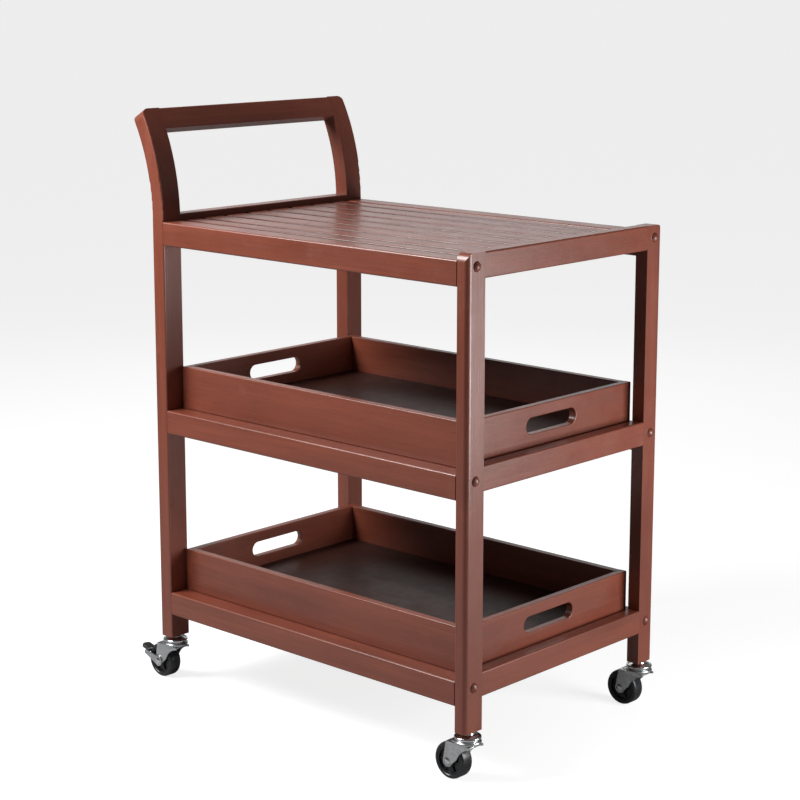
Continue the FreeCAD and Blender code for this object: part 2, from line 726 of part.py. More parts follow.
def caster(end, side_name):
    """One swivel caster: stem and race, fork, axle and wheel."""
    side = SIDES[side_name]
    tag = f"{end}_{side_name}"
    braked = end == "handle"

    def at(height, back="0"):
        x, y, _ = caster_place(end, side, height)
        return (f"{x} - {back}", y, height)

    # stem with its fixed race and the riveted kingpin below
    race_low = "head_low + ring_high + ring_gap"
    race = soften(f"race_{tag}", rod(f"race_{tag}_blank", "Z", "ring_radius", at(race_low), "race_high"),
                  ring_soft(sheet.ring_radius - 1))
    stem = rod(f"stem_{tag}", "Z", "stem_radius", at(race_low), f"stem_top - ({race_low})")
    kingpin = rod(f"kingpin_{tag}", "Z", "axle_radius", at("kingpin_low"), f"{race_low} - kingpin_low")
    clinch = rod(f"clinch_{tag}", "Z", "rivet_radius", at("kingpin_low"), "web_low - kingpin_low - 0.3")
    node(f"caster_stem_{tag}", fused(f"caster_stem_{tag}", [race, stem, kingpin, clinch]))

    # fork: two tapering cheeks joined by a web, under a round head
    cheek = document.addObject("Part::Wedge", f"cheek_{tag}")
    cheek.Placement = FreeCAD.Placement(ZERO, FreeCAD.Rotation(FreeCAD.Vector(1, 0, 0), 90))
    for name, formula in (("Xmin", "-trail - fork_eye"), ("Xmax", "-trail + fork_eye"),
                          ("X2min", "-fork_back"), ("X2max", "fork_front"),
                          ("Ymin", "wheel_radius"), ("Ymax", "head_low"),
                          ("Zmin", "-fork_outer"), ("Zmax", "fork_outer"),
                          ("Z2min", "-fork_outer"), ("Z2max", "fork_outer")):
        bind(cheek, name, formula)
    bind_place(cheek, at(0))
    y_back = f"{side} * {MID_Y} - fork_outer"
    eye = rod(f"eye_{tag}", "Y", "fork_eye", (at(0, "trail")[0], y_back, "wheel_radius"), "2 * fork_outer")
    head = soften(f"head_ring_{tag}", rod(f"head_ring_{tag}_blank", "Z", "ring_radius", at("head_low"),
                                          "ring_high"), ring_soft(sheet.ring_radius - 1))
    solid = fused(f"fork_blank_{tag}", [cheek, eye, head])
    x_middle, y_middle, _ = at(0)
    slot = block(f"fork_slot_{tag}", (f"{x_middle} - 60", f"{y_middle} - fork_inner", 0),
                 (f"{x_middle} + 60", f"{y_middle} + fork_inner", "web_low"))
    pin_hole = rod(f"pin_hole_{tag}", "Z", "axle_radius + run_play", at("web_low - 1"), "ring_high + 10")
    axle_hole = rod(f"axle_hole_{tag}", "Y", "axle_radius + run_play",
                    (at(0, "trail")[0], f"{y_middle} - 30", "wheel_radius"), 60)
    fork_cuts = fused(f"fork_cuts_{tag}", [slot, pin_hole, axle_hole])
    node(f"caster_fork_{tag}", cut(f"caster_fork_{tag}", solid, fork_cuts))

    # axle: a pin with a rivet head at each end, outside the brake arms where there are any
    grip = "(arm_outer + 0.2)" if braked else "(fork_outer + 0.1)"
    x_axle = at(0, "trail")[0]
    pin = rod(f"pin_{tag}", "Y", "axle_radius",
              (x_axle, f"{y_middle} - {grip}", "wheel_radius"), f"2 * {grip}")
    heads = []
    for step in (-1, 1):
        start = f"{y_middle} + {grip}" if step > 0 else f"{y_middle} - {grip} - rivet_thick"
        heads.append(rod(f"rivet_{tag}_{step + 1}", "Y", "rivet_radius",
                         (x_axle, start, "wheel_radius"), "rivet_thick"))
    node(f"caster_axle_{tag}", fused(f"caster_axle_{tag}", [pin] + heads))

    # wheel: rounded tread, a dish in each face and a hub with the bore
    start = f"{y_middle} - wheel_wide / 2"
    tread = rod(f"tread_{tag}", "Y", "wheel_radius", (x_axle, start, "wheel_radius"), "wheel_wide")

    def shoulder(edge):
        return sheet.wheel_soft if edge.Curve.TypeId == "Part::GeomCircle" else 0

    rounded = soften(f"tread_{tag}_soft", tread, shoulder)
    dishes = []
    for step in (-1, 1):
        dish_start = start if step < 0 else f"{y_middle} + wheel_wide / 2 - dish_deep"
        place = (x_axle, dish_start, "wheel_radius")
        outer = rod(f"dish_{tag}_{step + 1}", "Y", "hub_dish", place, "dish_deep")
        boss = rod(f"boss_{tag}_{step + 1}", "Y", "hub_radius", place, "dish_deep")
        dishes.append(cut(f"dish_ring_{tag}_{step + 1}", outer, boss))
    bore = rod(f"bore_{tag}", "Y", "axle_radius + run_play",
               (x_axle, f"{y_middle} - 30", "wheel_radius"), 60)
    wheel_cuts = fused(f"wheel_cuts_{tag}", dishes + [bore])
    node(f"caster_wheel_{tag}", cut(f"caster_wheel_{tag}", rounded, wheel_cuts))
    if braked:
        brake(tag, x_axle, y_middle)


def brake(tag, x_axle, y_middle):
    """A stirrup on the axle, round the back of the wheel, with a foot pedal."""
    tilt = FreeCAD.Rotation(FreeCAD.Vector(0, 1, 0), sheet.pedal_tilt)

    def tilted(piece):
        piece.Placement = FreeCAD.Placement(ZERO, tilt)
        bind_place(piece, (x_axle, y_middle, "wheel_radius"))
        return piece

    arms = []
    for side_name, side in SIDES.items():
        low, high = mirrored(side, "arm_inner", "arm_outer")
        arms.append(block(f"arm_{tag}_{side_name}", ("-arm_back", low, "-arm_low"), (0, high, "arm_high")))
        arms.append(rod(f"arm_eye_{tag}_{side_name}", "Y", "arm_eye", (0, low, 0), "arm_outer - arm_inner"))
    bridge = block(f"bridge_{tag}", ("-arm_back", "-arm_outer", "-arm_low"),
                   ("-arm_back + bridge_thick", "arm_outer", "arm_high"))
    stirrup = fused(f"stirrup_{tag}", arms + [bridge])
    hole = rod(f"stirrup_hole_{tag}", "Y", "axle_radius + run_play", (0, -30, 0), 60)
    node(f"brake_lever_{tag}", tilted(cut(f"brake_lever_{tag}", stirrup, hole)))
    pad = block(f"pedal_{tag}_blank", ("-pedal_back", "-pedal_wide / 2", "arm_high - pedal_thick"),
                ("-arm_back", "pedal_wide / 2", "arm_high"))
    document.recompute()

    def radius_of(edge):
        centre = edge.BoundBox.Center
        at_tip = abs(centre.x + sheet.pedal_back) < 0.1
        return sheet.pedal_soft if at_tip and along(edge, "z") else 0

    node(f"brake_pedal_{tag}", tilted(soften(f"brake_pedal_{tag}", pad, radius_of)))


def caster_sleeves():
    """A flanged sleeve in the foot of each post, for the caster's stem."""
    sleeves = []
    for end in ENDS:
        for side_name, side in SIDES.items():
            tag = f"{end}_{side_name}"
            place = caster_place(end, side, "post_base - flange_thick")
            tube = rod(f"tube_{tag}", "Z", "sleeve_radius", place, "sleeve_top - post_base + flange_thick")
            flange = rod(f"flange_{tag}", "Z", "flange_radius", place, "flange_thick")
            hole = rod(f"tube_hole_{tag}", "Z", "stem_radius + run_play",
                       caster_place(end, side, "post_base - 5"), "stem_top")
            sleeves.append(cut(f"sleeve_{tag}", fused(f"sleeve_blank_{tag}", [tube, flange]), hole))
    node("caster_sleeves", grouped("caster_sleeves", sleeves))


# ------------------------------------------------------------------ build

def build():
    for side_name in SIDES:
        plain_post(side_name)
        handle_post(side_name)
    handle_bar()
    for level in LEVELS:
        for end in ENDS:
            end_rail(end, level)
        for side_name in SIDES:
            side_rail(side_name, level)
    make_bolts()
    make_barrel_nuts()
    make_dowels()
    make_plugs()
    top_slats()
    top_battens()
    stemware_rack()
    for level in LEVELS[:2]:
        shelf_slats(level)
    shelf_cleats()
    for level in LEVELS[:2]:
        tray(level)
    caster_sleeves()
    for end in ENDS:
        for side_name in SIDES:
            caster(end, side_name)
    document.recompute()


def check():
    """Stop if any object failed or any piece has no valid shape."""
    for item in document.Objects:
        if "Invalid" in item.State or "Error" in item.State:
            raise RuntimeError(f"{item.Name} failed: {item.State}")
    for piece in nodes:
        if piece.Shape.isNull() or not piece.Shape.isValid() or piece.Shape.Volume <= 0:
            raise RuntimeError(f"{piece.Label} has no valid shape")


def export():
    os.makedirs("parts", exist_ok=True)
    for piece in nodes:
        piece.Shape.exportStep(f"parts/{piece.Label}.step")


build()
check()
export()
print(f"{len(nodes)} pieces written")
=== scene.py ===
"""Looks of the kitchen island cart: finishes, turned caster parts, lights and camera."""

import logging
import math
from collections.abc import Iterable
from dataclasses import dataclass, field
from enum import Enum

import bmesh
import bpy
from mathutils import Matrix, Vector


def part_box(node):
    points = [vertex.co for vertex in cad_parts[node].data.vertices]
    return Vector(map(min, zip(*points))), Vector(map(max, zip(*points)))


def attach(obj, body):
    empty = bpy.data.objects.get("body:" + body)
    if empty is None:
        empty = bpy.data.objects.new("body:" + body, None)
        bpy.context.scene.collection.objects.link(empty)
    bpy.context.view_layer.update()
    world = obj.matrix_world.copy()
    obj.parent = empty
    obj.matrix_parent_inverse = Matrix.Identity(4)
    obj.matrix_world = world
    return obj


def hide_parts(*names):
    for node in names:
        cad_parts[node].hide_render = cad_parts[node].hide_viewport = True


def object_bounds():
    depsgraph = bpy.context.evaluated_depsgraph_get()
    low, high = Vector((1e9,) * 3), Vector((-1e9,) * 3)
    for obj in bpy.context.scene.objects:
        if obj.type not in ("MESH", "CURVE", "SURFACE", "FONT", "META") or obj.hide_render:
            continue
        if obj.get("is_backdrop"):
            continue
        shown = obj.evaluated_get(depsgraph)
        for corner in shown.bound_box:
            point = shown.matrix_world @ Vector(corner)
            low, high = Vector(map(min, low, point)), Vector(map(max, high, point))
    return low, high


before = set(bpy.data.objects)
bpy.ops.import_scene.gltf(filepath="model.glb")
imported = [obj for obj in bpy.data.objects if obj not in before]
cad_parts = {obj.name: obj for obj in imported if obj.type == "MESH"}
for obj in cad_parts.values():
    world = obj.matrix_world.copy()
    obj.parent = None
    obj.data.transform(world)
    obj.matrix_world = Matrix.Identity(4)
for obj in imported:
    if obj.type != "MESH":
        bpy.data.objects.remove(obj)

logging.basicConfig(level=logging.INFO, format="%(message)s")
log = logging.getLogger("cart")

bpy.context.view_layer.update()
MM = 0.001
WELD = 1e-7
SEAM = 1e-6
EDGE_STEPS = 2
TIP_STEPS = 8

Point = tuple[float, float]
Triple = tuple[float, float, float]
Colour = tuple[float, float, float]
# a factor's low and high, and the two strengths that they become
Ramp = tuple[float, float, float, float]


# ------------------------------------------------------------------ finishes


def even(frequency: float) -> Triple:
    """The same frequency on each axis."""
    return (frequency, frequency, frequency)


class Grain(Enum):
    """The way the wood grain of a piece runs."""

    ALONG_X = 0
    ALONG_Y = 1
    ALONG_Z = 2

    def stretch(self, along: float, across: float) -> Triple:
        """Turn frequencies along and across the grain into one for each axis.

        Args:
            along: Frequency along the grain, per metre.
            across: Frequency across it.

        Returns:
            The frequencies on X, Y and Z.
        """
        scale = [across] * 3
        scale[self.value] = along
        return tuple(scale)


class Graph:
    """A small builder for one node material."""

    def __init__(self, name: str) -> None:
        """Start a material with a lone Principled shader.

        Args:
            name: The material's name.
        """
        self.material = bpy.data.materials.new(name)
        self.material.use_nodes = True
        self.tree = self.material.node_tree
        self.tree.nodes.clear()
        self.shader = self.add("ShaderNodeBsdfPrincipled")
        output = self.add("ShaderNodeOutputMaterial")
        self.link(self.shader.outputs["BSDF"], output.inputs["Surface"])
        self.coordinates = self.add("ShaderNodeTexCoord")
        self.place = self.coordinates.outputs["Object"]

    def add(self, kind: str, **settings: object) -> bpy.types.Node:
        """Add a node and set its properties.

        Args:
            kind: The node's type name.
            settings: Properties to set on it.

        Returns:
            The new node.
        """
        node = self.tree.nodes.new(kind)
        for name, value in settings.items():
            setattr(node, name, value)
        return node

    def link(self, source: bpy.types.NodeSocket, target: bpy.types.NodeSocket) -> None:
        """Join two sockets."""
        self.tree.links.new(source, target)

    def mapped(self, scale: Triple, shift: Triple) -> bpy.types.NodeSocket:
        """Object coordinates, scaled and shifted.

        Args:
            scale: Frequency along each axis, per metre.
            shift: Offset, so that pieces differ.

        Returns:
            The vector socket.
        """
        mapping = self.add("ShaderNodeMapping")
        mapping.inputs["Scale"].default_value = scale
        mapping.inputs["Location"].default_value = shift
        self.link(self.place, mapping.inputs["Vector"])
        return mapping.outputs["Vector"]

    def noise(self, vector: bpy.types.NodeSocket, detail: float = 4.0, roughness: float = 0.55,
              distortion: float = 0.0) -> bpy.types.NodeSocket:
        """Fractal noise of unit scale.

        Args:
            vector: Where to read it.
            detail: Octaves.
            roughness: Strength of the finer octaves.
            distortion: How far the noise bends its own lookup.

        Returns:
            The factor socket.
        """
        node = self.add("ShaderNodeTexNoise")
        node.inputs["Scale"].default_value = 1.0
        node.inputs["Detail"].default_value = detail
        node.inputs["Roughness"].default_value = roughness
        node.inputs["Distortion"].default_value = distortion
        self.link(vector, node.inputs["Vector"])
        return node.outputs["Fac"]

    def span(self, source: bpy.types.NodeSocket, low: float, high: float, start: float,
             end: float) -> bpy.types.NodeSocket:
        """Map a factor to another span, clamped.

        Args:
            source: The factor.
            low: Its value that becomes start.
            high: Its value that becomes end.
            start: The result at low.
            end: The result at high.

        Returns:
            The result's socket.
        """
        node = self.add("ShaderNodeMapRange")
        node.inputs["From Min"].default_value = low
        node.inputs["From Max"].default_value = high
        node.inputs["To Min"].default_value = start
        node.inputs["To Max"].default_value = end
        self.link(source, node.inputs["Value"])
        return node.outputs["Result"]

    def maths(self, operation: str, first: bpy.types.NodeSocket,
              second: bpy.types.NodeSocket | float) -> bpy.types.NodeSocket:
        """Combine a socket with another socket or a number.

        Args:
            operation: The Math node's operation.
            first: The first value.
            second: The second value.

        Returns:
            The result's socket.
        """
        node = self.add("ShaderNodeMath", operation=operation)
        self.link(first, node.inputs[0])
        if isinstance(second, (int, float)):
            node.inputs[1].default_value = second
        else:
            self.link(second, node.inputs[1])
        return node.outputs["Value"]

    def blend(self, factor: bpy.types.NodeSocket, first: Colour | bpy.types.NodeSocket,
              second: Colour | bpy.types.NodeSocket, mode: str = "MIX") -> bpy.types.NodeSocket:
        """Mix two colours, each given as numbers or as a socket.

        Args:
            factor: How much of the second colour.
            first: The first colour.
            second: The second colour.
            mode: Blend type.

        Returns:
            The colour socket.
        """
        node = self.add("ShaderNodeMix", data_type="RGBA", blend_type=mode)
        self.link(factor, node.inputs["Factor"])
        for socket, colour in ((node.inputs[6], first), (node.inputs[7], second)):
            if isinstance(colour, tuple):
                socket.default_value = (*colour, 1.0)
            else:
                self.link(colour, socket)
        return node.outputs[2]

    def bump(self, height: bpy.types.NodeSocket, distance: float, strength: float = 1.0) -> None:
        """Raise the surface by a height pattern.

        Args:
            height: The pattern, from 0 to about 1.
            distance: How far a height of 1 stands out, in metres.
            strength: Share of the effect.
        """
        node = self.add("ShaderNodeBump")
        node.inputs["Strength"].default_value = strength
        node.inputs["Distance"].default_value = distance
        self.link(height, node.inputs["Height"])
        self.link(node.outputs["Normal"], self.shader.inputs["Normal"])

    def feed(self, name: str, source: bpy.types.NodeSocket) -> None:
        """Drive one input of the shader."""
        self.link(source, self.shader.inputs[name])

    def fix(self, **values: float) -> None:
        """Set uniform inputs of the shader, with underscores for spaces."""
        for name, value in values.items():
            self.shader.inputs[name.replace("_", " ")].default_value = value


@dataclass(frozen=True)
class StainedWood:
    """Close-grained hardwood under a translucent brown stain and a satin lacquer."""

    name: str
    grain: Grain
    light: Colour = (0.225, 0.055, 0.029)
    dark: Colour = (0.115, 0.026, 0.014)
    seed: float = 0.0
    board: tuple[int, float, float] | None = None
    sheen: Point = (0.30, 0.44)
    coat: float = 0.30
    coat_roughness: float = 0.22
    gloss: float = 0.5
    # whether upright faces get painted shade, as in the gaps between slats
    painted_gap_shade: bool = False
    # frequencies, per metre: along and across the grain, or the same on each axis
    figure_grain: Point = (2.2, 26.0)
    streak_grain: Point = (7.0, 320.0)
    pore_grain: Point = (60.0, 1400.0)
    cloud_grain: float = 9.0
    rubbed_grain: float = 24.0
    ripple_grain: float = 140.0
    seed_steps: Triple = (3.7, 5.3, 7.1)
    # how each pattern becomes colour
    figure_ramp: Ramp = (0.30, 0.70, 0.0, 0.75)
    streak_ramp: Ramp = (0.35, 0.75, 0.0, 0.55)
    cloud_ramp: Ramp = (0.35, 0.75, 0.0, 0.35)
    pore_ramp: Ramp = (0.60, 0.80, 0.0, 0.55)
    rubbed_ramp: Ramp = (0.62, 0.80, 0.0, 0.35)
    tone_ramp: Ramp = (0.0, 1.0, 0.0, 0.30)
    # painted shade on upright faces: how level a face is, and how much painted shade it gets
    gap_shade_ramp: Ramp = (0.35, 0.80, 0.9, 0.0)
    pore_shade: float = 0.45
    # how dark that painted shade is, as a share of the dark tone
    gap_shade_level: float = 0.12
    worn_gain: float = 1.25
    worn_lift: float = 0.01
    # how each pattern becomes roughness and relief
    rubbed_band: Point = (0.3, 0.7)
    streak_dulling: Ramp = (0.3, 0.8, 0.0, 0.06)
    streak_relief: Ramp = (0.3, 0.8, 1.0, 0.0)
    pore_relief: Ramp = (0.60, 0.80, 0.6, 0.0)
    ripple_share: float = 1.2
    depth: float = 0.00010

    def shade_gaps(self, graph: Graph, colour: bpy.types.NodeSocket) -> bpy.types.NodeSocket:
        """Paint shade on the upright faces between slats, where little light gets into the gaps.

        Args:
            graph: The material being built.
            colour: The colour so far.

        Returns:
            The colour, with painted shade on faces that don't look up or down.
        """
        if not self.painted_gap_shade:
            return colour
        split = graph.add("ShaderNodeSeparateXYZ")
        graph.link(graph.coordinates.outputs["Normal"], split.inputs[0])
        # painted shade: faces that don't look up or down get a much darker tone
        upright = graph.span(graph.maths("ABSOLUTE", split.outputs[2], 0.0), *self.gap_shade_ramp)
        return graph.blend(upright, colour, tuple(self.gap_shade_level * part for part in self.dark))

    def tone(self, graph: Graph, colour: bpy.types.NodeSocket) -> bpy.types.NodeSocket:
        """Give each board of a group its own tone.

        Args:
            graph: The material being built.
            colour: The colour so far.

        Returns:
            The colour, a little lighter or darker from board to board.
        """
        if self.board is None:
            return colour
        axis, pitch, start = self.board
        split = graph.add("ShaderNodeSeparateXYZ")
        graph.link(graph.place, split.inputs[0])
        steps = graph.maths("DIVIDE", graph.maths("SUBTRACT", split.outputs[axis], start), pitch)
        cell = graph.add("ShaderNodeTexWhiteNoise", noise_dimensions="1D")
        graph.link(graph.maths("FLOOR", steps, 0.0), cell.inputs["W"])
        return graph.blend(graph.span(cell.outputs["Value"], *self.tone_ramp), colour, self.dark)

    def build(self) -> bpy.types.Material:
        """Make the material: long figure, fine pores, rubbed patches, lacquer ripple and, if asked,
        painted shade between slats.

        Returns:
            The material.
        """
        graph = Graph(self.name)
        shift = tuple(self.seed * step for step in self.seed_steps)
        figure = graph.noise(graph.mapped(self.grain.stretch(*self.figure_grain), shift),
                             detail=3.0, roughness=0.5, distortion=0.6)
        streak = graph.noise(graph.mapped(self.grain.stretch(*self.streak_grain), shift),
                             detail=3.0, roughness=0.6)
        pores = graph.noise(graph.mapped(self.grain.stretch(*self.pore_grain), shift),
                            detail=2.0, roughness=0.5)
        cloud = graph.noise(graph.mapped(even(self.cloud_grain), shift), detail=2.0)
        rubbed = graph.noise(graph.mapped(even(self.rubbed_grain), shift),
                             detail=5.0, roughness=0.7)
        ripple = graph.noise(graph.mapped(even(self.ripple_grain), shift), detail=2.0)

        pore_dark = tuple(self.pore_shade * part for part in self.dark)
        worn = tuple(min(1.0, self.worn_gain * part + self.worn_lift) for part in self.light)
        colour = graph.blend(graph.span(figure, *self.figure_ramp), self.light, self.dark)
        colour = graph.blend(graph.span(streak, *self.streak_ramp), colour, self.dark)
        colour = graph.blend(graph.span(cloud, *self.cloud_ramp), colour, self.light)
        colour = graph.blend(graph.span(pores, *self.pore_ramp), colour, pore_dark)
        colour = graph.blend(graph.span(rubbed, *self.rubbed_ramp), colour, worn)
        # painted shade goes on upright faces when asked, such as the gaps between slats
        graph.feed("Base Color", self.shade_gaps(graph, self.tone(graph, colour)))

        dullness = graph.maths("ADD", graph.span(rubbed, *self.rubbed_band, *self.sheen),
                               graph.span(streak, *self.streak_dulling))
        graph.feed("Roughness", dullness)
        relief = graph.maths("ADD", graph.span(streak, *self.streak_relief),
                             graph.span(pores, *self.pore_relief))
        waves = graph.maths("MULTIPLY", ripple, self.ripple_share)
        graph.bump(graph.maths("ADD", relief, waves), self.depth)
        graph.fix(Coat_Weight=self.coat, Coat_Roughness=self.coat_roughness,
                  Specular_IOR_Level=self.gloss)
        return graph.material


@dataclass(frozen=True)
class RawBeech:
    """Unfinished beech of the glued dowels."""

    name: str = "raw_beech"
    pale: Colour = (0.60, 0.40, 0.22)
    flecked: Colour = (0.40, 0.23, 0.11)
    warm: Colour = (0.66, 0.46, 0.28)
    fleck_grain: Triple = (500.0, 900.0, 900.0)
    cloud_grain: float = 40.0
    fleck_ramp: Ramp = (0.4, 0.7, 0.0, 0.6)
    cloud_ramp: Ramp = (0.3, 0.7, 0.0, 0.3)
    dulling: Ramp = (0.3, 0.7, 0.6, 0.8)
    depth: float = 0.0001

    def build(self) -> bpy.types.Material:
        """Make the material: pale flecked wood.

        Returns:
            The material.
        """
        graph = Graph(self.name)
        fleck = graph.noise(graph.mapped(self.fleck_grain, (0, 0, 0)), detail=3.0)
        cloud = graph.noise(graph.mapped(even(self.cloud_grain), (1, 2, 3)), detail=2.0)
        colour = graph.blend(graph.span(fleck, *self.fleck_ramp), self.pale, self.flecked)
        colour = graph.blend(graph.span(cloud, *self.cloud_ramp), colour, self.warm)
        graph.feed("Base Color", colour)
        graph.feed("Roughness", graph.span(fleck, *self.dulling))
        graph.bump(fleck, self.depth)
        return graph.material


@dataclass(frozen=True)
class PlatedSteel:
    """Pressed or turned steel under zinc or nickel plating, with handling marks."""

    name: str
    bright: Colour = (0.62, 0.63, 0.64)
    dull: Colour = (0.40, 0.41, 0.42)
    roughness: Point = (0.22, 0.42)
    scratch: float = 0.00004
    spangle_grain: float = 420.0
    smudge_grain: float = 110.0
    line_grain: Triple = (2600.0, 2600.0, 150.0)
    spangle_ramp: Ramp = (0.0, 1.0, 0.0, 0.25)
    smudge_ramp: Ramp = (0.40, 0.75, 0.0, 0.7)
    smudge_band: Point = (0.30, 0.75)

    def build(self) -> bpy.types.Material:
        """Make the material: spangled plating, fine scratches and dull smudges.

        Returns:
            The material.
        """
        graph = Graph(self.name)
        spangle = graph.add("ShaderNodeTexVoronoi", feature="F1")
        spangle.inputs["Scale"].default_value = self.spangle_grain
        graph.link(graph.place, spangle.inputs["Vector"])
        grey = graph.add("ShaderNodeRGBToBW")
        graph.link(spangle.outputs["Color"], grey.inputs["Color"])
        smudge = graph.noise(graph.mapped(even(self.smudge_grain), (4, 1, 2)),
                             detail=5.0, roughness=0.65)
        lines = graph.noise(graph.mapped(self.line_grain, (0, 3, 5)), detail=2.0)
        tint = graph.maths("ADD", graph.span(grey.outputs["Val"], *self.spangle_ramp),
                           graph.span(smudge, *self.smudge_ramp))
        graph.feed("Base Color", graph.blend(tint, self.bright, self.dull))
        graph.feed("Roughness", graph.span(smudge, *self.smudge_band, *self.roughness))
        graph.bump(graph.maths("ADD", lines, smudge), self.scratch)
        graph.fix(Metallic=1.0)
        return graph.material


@dataclass(frozen=True)
class MouldedPlastic:
    """Black moulded plastic with dust and scuffs."""

    name: str
    base: Colour
    scuffed: Colour
    roughness: Point
    texture: float
    bloom_grain: float = 90.0
    scuff_grain: Triple = (300.0, 900.0, 300.0)
    grit_grain: float = 1800.0
    bloom_ramp: Ramp = (0.45, 0.80, 0.0, 0.6)
    scuff_ramp: Ramp = (0.62, 0.78, 0.0, 0.8)
    bloom_band: Point = (0.3, 0.75)

    def build(self) -> bpy.types.Material:
        """Make the material: mould texture, grey scuffs and a dull bloom.

        Returns:
            The material.
        """
        graph = Graph(self.name)
        bloom = graph.noise(graph.mapped(even(self.bloom_grain), (7, 2, 1)),
                            detail=5.0, roughness=0.7)
        scuff = graph.noise(graph.mapped(self.scuff_grain, (2, 2, 9)), detail=4.0, roughness=0.6)
        grit = graph.noise(graph.mapped(even(self.grit_grain), (0, 0, 0)), detail=2.0)
        colour = graph.blend(graph.span(bloom, *self.bloom_ramp), self.base, self.scuffed)
        colour = graph.blend(graph.span(scuff, *self.scuff_ramp), colour, self.scuffed)
        graph.feed("Base Color", colour)
        graph.feed("Roughness", graph.span(bloom, *self.bloom_band, *self.roughness))
        graph.bump(graph.maths("ADD", grit, scuff), self.texture)
        return graph.material


# -------------------------------------------------------------- mesh helpers


def arc(centre: Point, radius: float, start: float, end: float, count: int) -> list[Point]:
    """Points along an arc.

    Args:
        centre: The arc's centre.
        radius: Its radius.
        start: First angle, in degrees.
        end: Last angle, in degrees.
        count: How many points, both ends included.

    Returns:
        The points, in order.
    """
    points = []
    for step in range(count):
        angle = math.radians(start + (end - start) * step / (count - 1))
        points.append((centre[0] + radius * math.cos(angle), centre[1] + radius * math.sin(angle)))
    return points


def finished(name: str, mesh: bmesh.types.BMesh, material: bpy.types.Material,
             smooth: float = 35.0) -> bpy.types.Object:
    """Turn a bmesh into a scene object at the origin.

    Args:
        name: The piece's name.
        mesh: Its shape, in metres and in place. It is freed.
        material: Its finish.
        smooth: Faces that meet at less than this angle are shaded as one.

    Returns:
        The object.
    """
    bmesh.ops.remove_doubles(mesh, verts=mesh.verts, dist=WELD)
    bmesh.ops.recalc_face_normals(mesh, faces=mesh.faces)
    for face in mesh.faces:
        face.smooth = True
    for edge in mesh.edges:
        shallow = edge.calc_face_angle(0.0) < math.radians(smooth)
        edge.smooth = len(edge.link_faces) == 2 and shallow
    data = bpy.data.meshes.new(name)
    mesh.to_mesh(data)
    mesh.free()
    data.materials.append(material)
    piece = bpy.data.objects.new(name, data)
    bpy.context.scene.collection.objects.link(piece)
    return piece


def turn_into(mesh: bmesh.types.BMesh, profile: list[Point], place: Matrix,
              steps: int = 64) -> None:
    """Spin a profile of (radius, height) points round Z and put the result in place.

    Args:
        mesh: The bmesh that receives the shape.
        profile: Points in millimetres. An open one starts and ends on the axis.
        place: Where the axis's origin and +Z go.
        steps: Facets in a turn.
    """
    fresh = bmesh.new()
    verts = [fresh.verts.new((radius * MM, 0.0, height * MM)) for radius, height in profile]
    edges = [fresh.edges.new(pair) for pair in zip(verts, verts[1:])]
    bmesh.ops.spin(fresh, geom=verts + edges, cent=(0, 0, 0), axis=(0, 0, 1), angle=math.tau,
                   steps=steps, use_merge=True, dvec=(0, 0, 0))
    bmesh.ops.remove_doubles(fresh, verts=fresh.verts, dist=SEAM)
    bmesh.ops.dissolve_degenerate(fresh, dist=WELD, edges=fresh.edges)
    bmesh.ops.recalc_face_normals(fresh, faces=fresh.faces)
    fresh.transform(place)
    merge_into(mesh, fresh)


def merge_into(mesh: bmesh.types.BMesh, part: bmesh.types.BMesh) -> None:
    """Add one bmesh to another and free it.

    Args:
        mesh: The bmesh that receives the shape.
        part: The bmesh that is added. It is freed.
    """
    data = bpy.data.meshes.new("part")
    part.to_mesh(data)
    part.free()
    mesh.from_mesh(data)
    bpy.data.meshes.remove(data)


def round_off(mesh: bmesh.types.BMesh, edges: list[bmesh.types.BMEdge], radius: float,
              steps: int) -> None:
    """Round some edges of a shape.

    Args:
        mesh: The shape.
        edges: The edges.
        radius: The rounding, in millimetres.
        steps: Facets across it.
    """
    bmesh.ops.bevel(mesh, geom=edges, offset=radius * MM, affect="EDGES", segments=steps,
                    profile=0.5, material=-1)


def plate_into(mesh: bmesh.types.BMesh, outline: list[Point], low: float, high: float,
               place: Matrix, edge: float) -> None:
    """Extrude an outline in XZ along Y, round its edges and put it in place.

    Args:
        mesh: The bmesh that receives the shape.
        outline: Points in millimetres, in order round the plate.
        low: Lowest Y, in millimetres.
        high: Highest Y.
        place: Where the plate's origin goes.
        edge: Edge rounding, in millimetres.
    """
    fresh = bmesh.new()
    verts = [fresh.verts.new((x * MM, low * MM, z * MM)) for x, z in outline]
    face = fresh.faces.new(verts)
    grown = bmesh.ops.extrude_face_region(fresh, geom=[face])["geom"]
    moved = [item for item in grown if isinstance(item, bmesh.types.BMVert)]
    bmesh.ops.translate(fresh, vec=(0, (high - low) * MM, 0), verts=moved)
    rims = [item for item in fresh.edges if abs(item.verts[0].co.y - item.verts[1].co.y) < WELD]
    round_off(fresh, rims, edge, EDGE_STEPS)
    bmesh.ops.recalc_face_normals(fresh, faces=fresh.faces)
    fresh.transform(place)
    merge_into(mesh, fresh)


